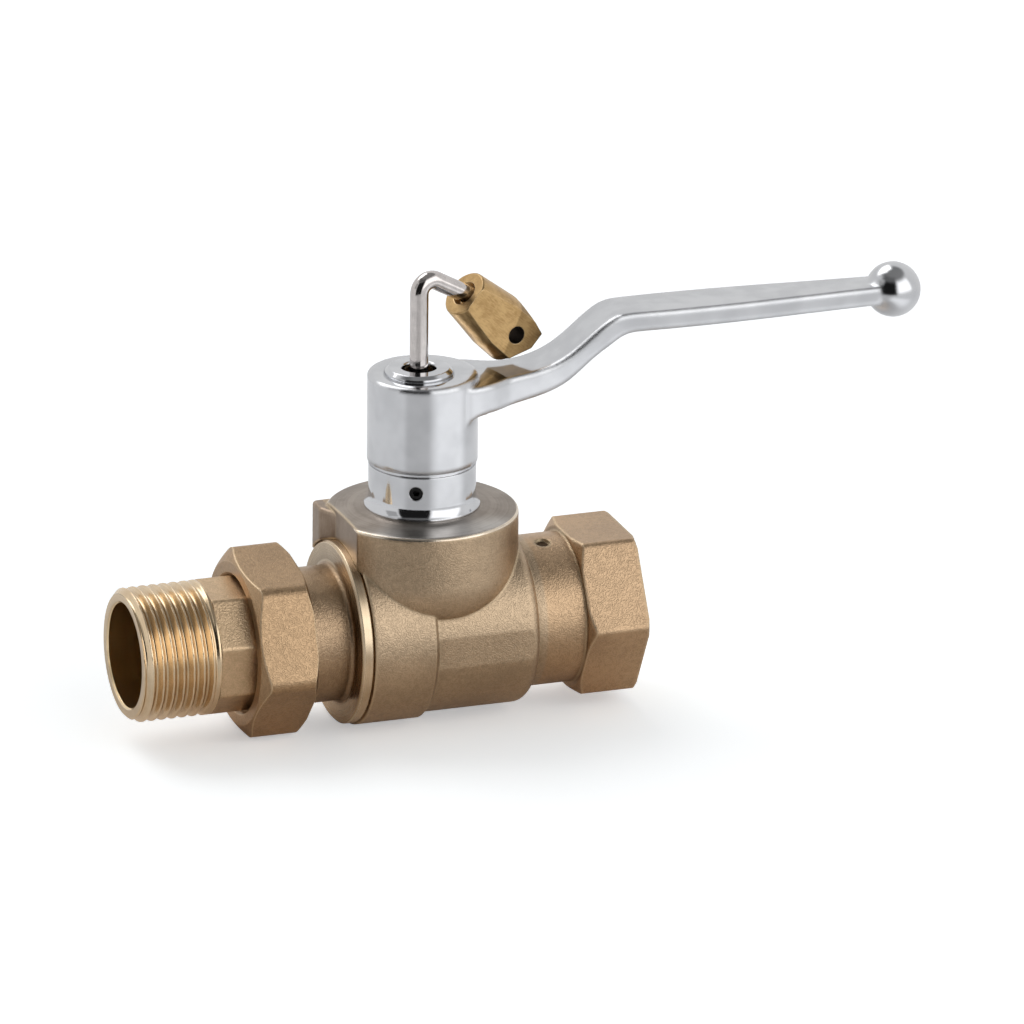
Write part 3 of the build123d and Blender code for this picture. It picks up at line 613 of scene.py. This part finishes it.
@dataclass
class BodyCasting:
    """The valve's body with its turned neck top, faced side and threaded port."""

    cast: CastSkin = CastSkin(light=(0.54, 0.405, 0.27), dark=(0.395, 0.295, 0.197))
    end_skin: CastSkin = CastSkin(light=(0.57, 0.395, 0.243), dark=(0.415, 0.285, 0.175))
    end_start_x: float = 21.0
    # A lighter copy of the disc's turned coat: a painted reflection of the collar on the disc's front.
    polished: TurnedFace = TurnedFace(light=(0.60, 0.57, 0.535), dark=(0.44, 0.41, 0.38), roughness=0.34,
                                      ring_mm=0.5, depth_mm=0.002)
    front_sheen_start_y: float = -8.0
    front_sheen_end_y: float = -16.0
    disc: TurnedFace = TurnedFace(light=(0.36, 0.31, 0.265), dark=(0.24, 0.20, 0.165), roughness=0.38,
                                  ring_mm=0.5, depth_mm=0.002)
    # Bright cut metal on the disc's rim, lightened further as a painted highlight.
    rim: TurnedFace = TurnedFace(light=(0.86, 0.77, 0.65), dark=(0.74, 0.62, 0.48), roughness=0.18)
    side: Drawn = Drawn((0.36, 0.28, 0.215), (0.28, 0.21, 0.155), UP, roughness=0.34)
    brass: TurnedFace = TurnedFace()
    stain: Moulded = Moulded((0.085, 0.05, 0.026), (0.05, 0.03, 0.016), roughness=0.5)
    disc_low_z: float = 23.64
    rim_low_z: float = 23.2
    rim_r: float = 17.9
    side_x: float = -16.42
    side_low_z: float = 9.0
    bore_r: float = 14.46
    bore_start_x: float = 9.5
    port_face_x: float = 41.02
    port_start_x: float = 27.1
    hex_end_x: float = 41.1
    lead_in: float = 1.0
    port_thread: Thread = Thread(crest_r=12.06, root_r=13.1, pitch=1.814)
    port_wall_r: float = 13.21
    port_steps: int = 110
    port_sides: int = 128
    mark_x: float = 24.0
    mark_deg: float = 80.0
    mark_r_range: tuple[float, float] = (2.05, 1.25)
    mark_height_range: tuple[float, float] = (12.55, 12.95)
    run_out: float = 0.8
    run_out_rest: float = 0.02

    def stained(self, place: Place) -> Signal:
        """Where the round mark on the rear neck is dark, from 0 to 1."""
        graph = place.graph
        out = Vector((0.0, -math.cos(math.radians(self.mark_deg)), math.sin(math.radians(self.mark_deg))))
        side = Vector((0.0, out.z, -out.y))
        aside = graph.dot(place.whole, tuple(side))
        away = graph.math("SQRT", (place.x - self.mark_x) * (place.x - self.mark_x) + aside * aside)
        above = graph.dot(place.whole, tuple(out))
        return graph.smooth(above, *self.mark_height_range) * graph.smooth(away, *self.mark_r_range)

    def paint(self, place: Place) -> Coat:
        """Cast skin outside, a turned disc and a milled side on the neck, and cut metal in the port; the
        disc's front is painted lighter as a painted reflection, and its rim is bright cut metal lightened
        further as a painted highlight.
        """
        graph = place.graph
        disc = self.disc.coat(place, place.stem_r, place.z)
        # Painted reflection: the disc turns lighter towards its front.
        front = graph.smooth(place.y, self.front_sheen_start_y, self.front_sheen_end_y)
        disc = disc.under(front, self.polished.coat(place, place.stem_r, place.z))
        rim = self.rim.coat(place, place.stem_r, place.z)
        bright = self.brass.coat(place, place.pipe_r, place.x)
        milled = graph.below(place.x, self.side_x, 0.04) * graph.above(place.z, self.side_low_z, 0.5)
        top = graph.above(place.z, self.disc_low_z, 0.04)
        # The rim's band: partly cut metal, partly a painted highlight.
        edge = graph.above(place.z, self.rim_low_z, 0.08) * graph.above(place.stem_r, self.rim_r, 0.1)
        bore = graph.below(place.pipe_r, self.bore_r, 0.06) * graph.above(place.x, self.bore_start_x, 0.2)
        face = graph.above(place.x, self.port_face_x, 0.03)
        rear = graph.above(place.x, self.end_start_x, 0.4)
        skin = self.cast.coat(place).under(rear, self.end_skin.coat(place))
        coat = skin.under(milled, self.side.coat(place)).under(edge, rim).under(top, disc)
        coat = coat.under(graph.math("MAXIMUM", bore, face), bright)
        return coat.under(self.stained(place), self.stain.coat(place))

    def port_ridges(self) -> bpy.types.Object:
        """The female thread inside the port."""
        first, last = self.port_start_x, self.hex_end_x - self.lead_in
        root = self.port_thread.root_r
        stations = []
        for step in range(self.port_steps + 1):
            x = first + (last - first) * step / self.port_steps
            rise, fall = (x - first) / self.run_out, (last - x) / self.run_out + self.run_out_rest
            full = max(0.0, min(1.0, rise, fall))
            stations.append(Station(
                x, lambda angle, x=x, full=full: root + (self.port_thread.radius(x, angle) - root) * full))
        stations += [Station(last, plain(self.port_wall_r)), Station(first, plain(self.port_wall_r))]
        return RingMesh("port_thread", self.port_sides).build(stations)

    def build(self) -> list[str]:
        """Dress the casting and add the port's thread.

        Returns:
            The names of the pieces.
        """
        # Painted shade darkens the body's corners; its rounded edges are lightened as part wear, part painted
        # highlight.
        finish = Finish("cast bronze body", edge_mm=0.9, edge_wear_and_highlight=0.55, hollow_shade=0.8)
        clothe(node("body"), finish.material(self.paint))
        ridges = self.port_ridges()
        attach(ridges, Body.ROOT.value)
        # Painted shade darkens the roots of the port thread.
        thread = Finish("cut port thread", edge_mm=0.08, hollow_shade=0.5, hollow_shade_mm=1.2, hollow_shade_colour=THREAD_ROOT_SHADE)
        look = thread.material(lambda place: self.brass.coat(place, place.pipe_r, place.x))
        clothe(ridges, look)
        return ["body", ridges.name]


@dataclass
class EndConnector:
    """The screwed end with its turned flange, its cast neck and the seal."""

    cast: CastSkin = CastSkin(light=(0.50, 0.355, 0.225), dark=(0.37, 0.258, 0.163))
    brass: TurnedFace = TurnedFace(light=(0.70, 0.56, 0.39), dark=(0.57, 0.435, 0.29), roughness=0.26)
    # Painted shade: a darker copy of the cut brass for the flange's left face, where the nut shades it.
    face: TurnedFace = TurnedFace(light=(0.40, 0.27, 0.135), dark=(0.29, 0.185, 0.09), roughness=0.26)
    face_x_range: tuple[float, float] = (-18.15, -18.28)
    face_low_z: float = -12.0
    face_high_z: float = 8.0
    face_edge: float = 3.0
    neck_r: float = 13.9
    bore_r: float = 11.4
    rubber: Moulded = Moulded((0.05, 0.05, 0.052), (0.03, 0.03, 0.032), roughness=0.6)

    def paint(self, place: Place) -> Coat:
        """Cast skin on the neck, cut metal on the flange and the bores, and a darker copy of the cut metal on
        the middle of the flange's left face as painted shade.
        """
        graph = place.graph
        skin = self.cast.coat(place)
        bright = self.brass.coat(place, place.pipe_r, place.x)
        # Painted shade: the flange's left face is darker between the two heights.
        shaded = graph.smooth(place.x, *self.face_x_range) * graph.within(
            place.z, self.face_low_z, self.face_high_z, self.face_edge)
        bright = bright.under(shaded, self.face.coat(place, place.pipe_r, place.x))
        flange = graph.above(place.pipe_r, self.neck_r, 0.2)
        bore = graph.below(place.pipe_r, self.bore_r, 0.2)
        return skin.under(graph.math("MAXIMUM", flange, bore), bright)

    def build(self) -> list[str]:
        """Dress the connector and its seal ring."""
        # Painted shade darkens hollows over 8 mm, most of all the flange face between nut and flange; rounded
        # edges are part wear, part painted highlight.
        finish = Finish("end connector", edge_mm=0.3, edge_wear_and_highlight=0.7, edge_colour=WORN_AND_LIT_BRASS, hollow_shade=0.95,
                        hollow_shade_mm=8.0, hollow_shade_colour=(0.12, 0.07, 0.03))
        clothe(node("end_connector"), finish.material(self.paint))
        seal = Finish("black seal rubber", metal=0.0, edge_mm=0.05)
        clothe(node("connector_seal_ring"), seal.material(self.rubber.coat))
        return ["end_connector", "connector_seal_ring"]


@dataclass
class UnionTail:
    """The union nut, the threaded tail piece and its gasket."""

    cast: CastSkin = CastSkin()
    # A lighter copy of the cast skin for the tail's flats, as painted light.
    lit_flat_skin: CastSkin = CastSkin(light=(0.70, 0.51, 0.32), dark=(0.53, 0.38, 0.235))
    brass: TurnedFace = TurnedFace()
    bore_brass: TurnedFace = TurnedFace(light=(0.98, 0.76, 0.46), dark=(0.88, 0.64, 0.36))
    fibre: Moulded = Moulded((0.36, 0.20, 0.12), (0.28, 0.15, 0.09), roughness=0.8)
    way_r: float = 10.3
    mouth: float = 0.4
    end_x: float = -61.2
    thread: Thread = Thread(crest_r=13.2, root_r=12.05, pitch=2.09)
    flats_left_x: float = -45.6
    groove_r: float = 11.9
    lip: float = 0.2
    chamfer_r: float = 12.12
    run_out_end_x: float = -46.0
    run_out: float = 1.6
    flats_bevel: float = 0.25
    corner_cut: float = 0.08
    flats: float = 24.6
    flats_turn_deg: float = 29.5
    collar_left_x: float = -36.9
    collar_right_x: float = -33.9
    collar_r: float = 14.3
    step_mm: float = 0.087
    sides: int = 224

    def flats_radius(self, angle: float) -> float:
        """Radius of the spanner flats at an angle, with slightly rounded corners."""
        wedge = math.pi / 4
        turned = (angle - math.radians(self.flats_turn_deg) + wedge / 2) % wedge - wedge / 2
        corner = self.flats / 2 / math.cos(math.pi / 8)
        flat = (self.flats / 2) / math.cos(wedge / 2 - abs(turned))
        return min(flat, corner - self.corner_cut)

    def thread_radius(self, x: float, angle: float) -> float:
        """Radius of the outside of the threaded end, with its chamfer and its run-out."""
        chamfer = self.chamfer_r + (x - self.end_x)
        full = min(1.0, max(0.0, (self.run_out_end_x - x) / self.run_out))
        cut = self.thread.crest_r + (self.thread.radius(x, angle) - self.thread.crest_r) * full
        return min(cut, chamfer)

    def stations(self) -> list[Station]:
        """The rings of the tail piece's section, from its open end round to the bore."""
        found = [
            Station(self.end_x, plain(self.way_r + self.mouth)),
            Station(self.end_x, plain(self.groove_r + self.lip)),
        ]
        steps = round((self.flats_left_x - self.end_x) / self.step_mm)
        for step in range(steps + 1):
            x = self.end_x + (self.flats_left_x - self.end_x) * step / steps
            found.append(Station(x, lambda angle, x=x: self.thread_radius(x, angle)))
        found += [
            Station(self.flats_left_x, lambda angle: self.flats_radius(angle) - self.flats_bevel),
            Station(self.flats_left_x + self.flats_bevel, self.flats_radius),
            Station(self.collar_left_x, self.flats_radius),
            Station(self.collar_left_x, plain(self.collar_r)),
            Station(self.collar_right_x, plain(self.collar_r)),
            Station(self.collar_right_x, plain(self.way_r)),
            Station(self.end_x + self.mouth, plain(self.way_r)),
        ]
        return found

    def paint_tail(self, place: Place) -> Coat:
        """Cut metal on the thread and in the bore, and cast skin painted lighter on the flats as painted
        light.
        """
        graph = place.graph
        skin = self.lit_flat_skin.coat(place)
        bright = self.brass.coat(place, place.pipe_r, place.x)
        threaded = graph.below(place.x, self.flats_left_x + 0.05, 0.1)
        bore = graph.below(place.pipe_r, self.way_r + self.lip, 0.1)
        return skin.under(threaded, bright).under(bore, self.bore_brass.coat(place, place.pipe_r, place.x))

    def build(self) -> list[str]:
        """Build the threaded tail and dress the nut and the gasket."""
        tail = RingMesh("tail_threaded", self.sides).build(self.stations())
        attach(tail, Body.TAIL.value)
        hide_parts("tail_piece")
        # Painted shade darkens the thread's roots; rounded edges are part wear, part painted highlight.
        finish = Finish("tail piece", edge_mm=0.12, edge_wear_and_highlight=0.6, edge_colour=WORN_AND_LIT_BRASS, hollow_shade=0.5,
                        hollow_shade_mm=1.2, hollow_shade_colour=THREAD_ROOT_SHADE)
        clothe(tail, finish.material(self.paint_tail))
        # Painted shade darkens the nut's hollows; its rounded edges are part wear, part painted highlight.
        nut = Finish("cast bronze nut", edge_mm=0.5, edge_wear_and_highlight=0.8, hollow_shade=0.6)
        clothe(node("union_nut"), nut.material(self.cast.coat))
        gasket = Finish("fibre gasket", metal=0.0, edge_mm=0.05)
        clothe(node("union_gasket"), gasket.material(self.fibre.coat))
        return [tail.name, "union_nut", "union_gasket"]


@dataclass
class BallAndStem:
    """The ball, its seats, and the stem with its seals and its screw fixing."""

    chrome: Plated = Plated(roughness=0.05)
    brass: TurnedFace = TurnedFace()
    steel: TurnedFace = TurnedFace(light=(0.50, 0.50, 0.52), dark=(0.40, 0.40, 0.42), roughness=0.30)
    plastic: Moulded = Moulded((0.90, 0.90, 0.88), (0.84, 0.84, 0.82), roughness=0.45)
    rubber: Moulded = Moulded((0.05, 0.05, 0.052), (0.03, 0.03, 0.032), roughness=0.6)
    black: Moulded = Moulded((0.035, 0.034, 0.034), (0.02, 0.02, 0.02), roughness=0.35)

    def build(self) -> list[str]:
        """Dress the pieces inside the body, and the small steel pieces of the lock."""
        looks = {
            ("ball",): Finish("polished ball", edge_mm=0.15).material(self.chrome.coat),
            ("stem",): Finish("turned brass stem", edge_mm=0.1).material(
                lambda place: self.brass.coat(place, place.stem_r, place.z)),
            ("seat_left", "seat_right", "stem_thrust_washer"): Finish(
                "white seat plastic", metal=0.0, edge_mm=0.1).material(self.plastic.coat),
            ("stem_seal_ring_lower", "stem_seal_ring_upper"): Finish(
                "stem seal rubber", metal=0.0, edge_mm=0.05).material(self.rubber.coat),
            ("collar_grub_screw",): Finish("blackened grub screw", edge_mm=0.05).material(self.black.coat),
            ("stem_washer", "stem_nut", "stop_pin", "lock_bolt", "bolt_pin"): Finish(
                "zinc plated steel", edge_mm=0.08).material(
                lambda place: self.steel.coat(place, place.stem_r, place.z)),
        }
        for names, material in looks.items():
            for name in names:
                clothe(node(name), material)
        return [name for names in looks for name in names]


@dataclass
class LeverAndLock:
    """The chromed lever with its hub, the collar under it and the lock inside it."""

    chrome: Plated = Plated()
    brass: TurnedFace = TurnedFace()

    def build(self) -> list[str]:
        """Dress the lever, the collar, the cap and the rotor."""
        lever = Finish("bright chrome lever", edge_mm=1.5).material(self.chrome.coat)
        small = Finish("bright chrome collar and cap", edge_mm=0.35).material(self.chrome.coat)
        for name, plated in (("lever", lever), ("lock_collar", small), ("hub_cap", small)):
            clothe(node(name), plated)
        rotor = Finish("turned brass rotor", edge_mm=0.1).material(
            lambda place: self.brass.coat(place, place.stem_r, place.z))
        clothe(node("lock_rotor"), rotor)
        return ["lever", "lock_collar", "hub_cap", "lock_rotor"]


@dataclass
class LockKey:
    """The bent nickel-plated rod and the milled brass head."""

    hole_at: Triple = (18.482, 4.099, 56.887)
    hole_axis: Triple = (0.2079, -0.9781, 0.0)
    hole_r: float = 1.81
    nose_way: Triple = (0.873, 0.186, -0.451)
    nose_start: float = -1.1
    nose: Drawn = Drawn((0.38, 0.25, 0.11), (0.26, 0.16, 0.068), HEAD_WAY, roughness=0.34,
                        depth_mm=0.008, line_mm=0.22, stretch=6.0)
    oxide: Moulded = Moulded((0.055, 0.032, 0.016), (0.03, 0.018, 0.009), roughness=0.55)
    rod: Drawn = Drawn((0.66, 0.62, 0.60), (0.54, 0.505, 0.49), UP, roughness=0.12, depth_mm=0.0015)
    head: Drawn = Drawn((0.60, 0.40, 0.185), (0.43, 0.27, 0.115), HEAD_WAY, roughness=0.32,
                        depth_mm=0.008, line_mm=0.22, stretch=6.0)

    def paint_head(self, place: Place) -> Coat:
        """Milled brass, darker on the nose, dark with oxide inside the ring hole."""
        graph = place.graph
        from_hole = graph.vector("SUBTRACT", place.whole, self.hole_at)
        aside = graph.vector("CROSS_PRODUCT", from_hole, self.hole_axis)
        away = graph.math("SQRT", graph.dot(aside, aside))
        inside = graph.below(away, self.hole_r, 0.04)
        ahead = graph.dot(from_hole, self.nose_way)
        nose = graph.above(ahead, self.nose_start, 0.25)
        milled = self.head.coat(place).under(nose, self.nose.coat(place))
        return milled.under(inside, self.oxide.coat(place))

    def build(self) -> list[str]:
        """Dress the rod and the head."""
        clothe(node("key_rod"), Finish("polished nickel rod", edge_mm=0.1).material(self.rod.coat))
        # Painted shade darkens the head's hollows; its rounded edges are part wear, part painted highlight.
        finish = Finish("milled brass head", edge_mm=0.3, edge_wear_and_highlight=0.6, edge_colour=(0.78, 0.60, 0.36),
                        hollow_shade=0.85, hollow_shade_mm=2.0, hollow_shade_colour=(0.035, 0.02, 0.01))
        clothe(node("key_head"), finish.material(self.paint_head))
        return ["key_rod", "key_head"]


@dataclass(frozen=True)
class Viewpoint:
    """The photograph's camera: a long lens from the front left, a little above."""

    azimuth_deg: float = 19.59
    elevation_deg: float = 19.80
    roll_deg: float = -0.36
    centre_px: float = 512.0
    focal_px: float = 40000.0
    origin_px: tuple[float, float] = (421.21, 621.69)
    distance_mm: float = 7782.06
    sensor_mm: float = 36.0
    clip_m: tuple[float, float] = (0.1, 100.0)

    def axes(self) -> tuple[Vector, Vector, Vector]:
        """The directions right, up and back of a camera that looks straight at the origin."""
        azimuth, elevation = math.radians(self.azimuth_deg), math.radians(self.elevation_deg)
        back = Vector((-math.sin(azimuth) * math.cos(elevation), -math.cos(azimuth) * math.cos(elevation),
                       math.sin(elevation)))
        right = Vector((math.cos(azimuth), -math.sin(azimuth), 0.0))
        return right, back.cross(right), back

    def build(self) -> bpy.types.Object:
        """Make the camera and set it as the scene's own.

        Returns:
            The camera.
        """
        right, up, back = self.axes()
        straight = Matrix((right, up, back))
        roll = Matrix.Rotation(math.radians(self.roll_deg), 3, "Z")
        aside = Vector(((self.origin_px[0] - self.centre_px) / self.focal_px,
                        -(self.origin_px[1] - self.centre_px) / self.focal_px, -1.0))
        swing = Vector((0.0, 0.0, -1.0)).rotation_difference(aside).to_matrix()
        world_to_camera = swing @ roll @ straight
        data = bpy.data.cameras.new("photo_camera")
        data.sensor_width = self.sensor_mm
        data.lens = self.focal_px * self.sensor_mm / (2 * self.centre_px)
        data.clip_start, data.clip_end = self.clip_m
        camera = bpy.data.objects.new("photo_camera", data)
        bpy.context.scene.collection.objects.link(camera)
        turn = world_to_camera.transposed().to_4x4()
        camera.matrix_world = Matrix.Translation(back * self.distance_mm * MM) @ turn
        bpy.context.scene.camera = camera
        return camera


@dataclass(frozen=True)
class SoftBox:
    """A lit or dark part of the studio, by its bearing from the camera's side and its height."""

    left_deg: float
    right_deg: float
    low_deg: float
    high_deg: float
    edge_deg: float
    strength: float


@dataclass
class Studio:
    """White table and backdrop, soft boxes, and the dim room in front and above."""

    view: Viewpoint
    floor_z: float = -18.5
    floor_r: float = 540.0
    floor_sides: int = 96
    white: float = 1.0
    backdrop: float = 0.82
    table_light: Colour = (0.965, 0.99, 1.0)
    table_far: Colour = (0.66, 0.66, 0.665)
    # Painted bounce light: the table's colour near the object, warm as if lit by the bronze.
    table_near_bounce: Colour = (1.0, 0.90, 0.80)
    table_glow: float = 0.385
    glow_tint: Colour = (0.97, 0.985, 1.0)
    ceiling: SoftBox = SoftBox(-400, 400, 52, 200, 6, 0.26)
    room: SoftBox = SoftBox(-49, 17, -20, 51, 2.5, 0.015)
    over_room: SoftBox = SoftBox(-75, 17, 45, 66, 4, 0.16)
    panel: SoftBox = SoftBox(-80, -54, 14, 40, 3, 0.45)
    right_box: SoftBox = SoftBox(21, 84, 0, 44, 5, 1.75)
    left_box: SoftBox = SoftBox(-168, -108, 38, 68, 3, 2.8)
    front_patch: SoftBox = SoftBox(-34, 16, 0, 900, 7, -0.19)
    right_patch: SoftBox = SoftBox(26, 92, 112, 225, 12, 0.36)
    patch_level: float = 0.305
    patch_start_mm: tuple[float, float] = (60.0, 165.0)
    near_mm: tuple[float, float] = (35.0, 95.0)

    def patch(self, graph: Graph, bearing: Signal, height: Signal, box: SoftBox) -> Signal:
        """Where a part of the studio is, from 0 to 1. On the table, its distance stands for the height."""
        across = graph.within(bearing, box.left_deg, box.right_deg, box.edge_deg)
        return across * graph.within(height, box.low_deg, box.high_deg, box.edge_deg)

    def level_axes(self, graph: Graph, way: Signal) -> tuple[Signal, Signal]:
        """How far a direction or a place points to the photograph's right, and to its near side."""
        right, _, back = self.view.axes()
        front = Vector((back.x, back.y, 0.0)).normalized()
        return graph.dot(way, tuple(right)), graph.dot(way, tuple(front))

    def light(self) -> None:
        """Build the world that lights the object and shows in its metal."""
        world = bpy.data.worlds.new("studio")
        bpy.context.scene.world = world
        world.use_nodes = True
        graph = Graph(world.node_tree)
        way = graph.out(graph.node("ShaderNodeTexCoord"), "Generated")
        across, towards = self.level_axes(graph, way)
        up = graph.split(way)[2]
        bearing = graph.math("ARCTAN2", across, towards) * (180 / math.pi)
        height = graph.math("ARCSINE", up) * (180 / math.pi)
        strength: Value = self.backdrop
        for box in (self.ceiling, self.room, self.over_room, self.panel, self.right_box, self.left_box):
            strength = graph.level(self.patch(graph, bearing, height, box), strength, box.strength)
        seen = graph.out(graph.node("ShaderNodeLightPath"), "Is Camera Ray")
        shown = graph.level(seen, strength, self.white)
        background = graph.node("ShaderNodeBackground", None,
                                {"Color": (1.0, 1.0, 1.0, 1.0), "Strength": shown})
        graph.node("ShaderNodeOutputWorld", None, {"Surface": background.outputs[0]})

    def table(self) -> bpy.types.Object:
        """The white table top: it takes the shadow, and shows pale to the camera and in metal; near the
        object it is painted warmer as painted bounce light from the bronze.

        Returns:
            The floor object.
        """
        mesh = bpy.data.meshes.new("table_top")
        ring = [(self.floor_r * MM * math.cos(2 * math.pi * i / self.floor_sides),
                 self.floor_r * MM * math.sin(2 * math.pi * i / self.floor_sides), self.floor_z * MM)
                for i in range(self.floor_sides)]
        mesh.from_pydata(ring, [], [tuple(range(self.floor_sides))])
        floor = bpy.data.objects.new("table_top", mesh)
        bpy.context.scene.collection.objects.link(floor)
        made = bpy.data.materials.new("white table")
        made.use_nodes = True
        graph = Graph(made.node_tree)
        place = Place.of(graph)
        path = graph.node("ShaderNodeLightPath")
        camera = graph.out(path, "Is Camera Ray")
        mirrored = graph.out(path, "Is Glossy Ray") + graph.out(path, "Is Transmission Ray")
        across, towards = self.level_axes(graph, place.whole)
        bearing = graph.math("ARCTAN2", across, towards) * (180 / math.pi)
        away = graph.math("SQRT", across * across + towards * towards)
        sheen: Value = self.patch_level
        for box in (self.front_patch, self.right_patch):
            sheen = sheen + self.patch(graph, bearing, away, box) * box.strength
        sheen = sheen * graph.smooth(away, *self.patch_start_mm)
        # Painted bounce light: warm near the object, plain grey further out.
        lit = graph.blend(graph.smooth(away, *self.near_mm), self.table_near_bounce, self.table_far)
        shown = graph.blend(camera, lit, self.table_light)
        diffuse = graph.node("ShaderNodeBsdfDiffuse", None, {"Color": shown})
        strength = camera * self.table_glow + mirrored * sheen
        glow = graph.node("ShaderNodeEmission", None, {"Color": (*self.glow_tint, 1.0), "Strength": strength})
        both = graph.node("ShaderNodeAddShader", None, {0: diffuse.outputs[0], 1: glow.outputs[0]})
        graph.node("ShaderNodeOutputMaterial", None, {"Surface": both.outputs[0]})
        clothe(floor, made)
        return floor


def main() -> None:
    """Build every sub-assembly, the studio and the camera."""
    logging.basicConfig(level=logging.INFO, format="%(name)s: %(message)s")
    view = Viewpoint()
    for assembly in (BodyCasting(), EndConnector(), UnionTail(), BallAndStem(), LeverAndLock(), LockKey()):
        for name in assembly.build():
            LOG.info("%s dressed %s", type(assembly).__name__, name)
    studio = Studio(view)
    studio.light()
    studio.table()
    view.build()
    bpy.context.scene.view_settings.view_transform = "Standard"


if __name__ == "__main__":
    main()
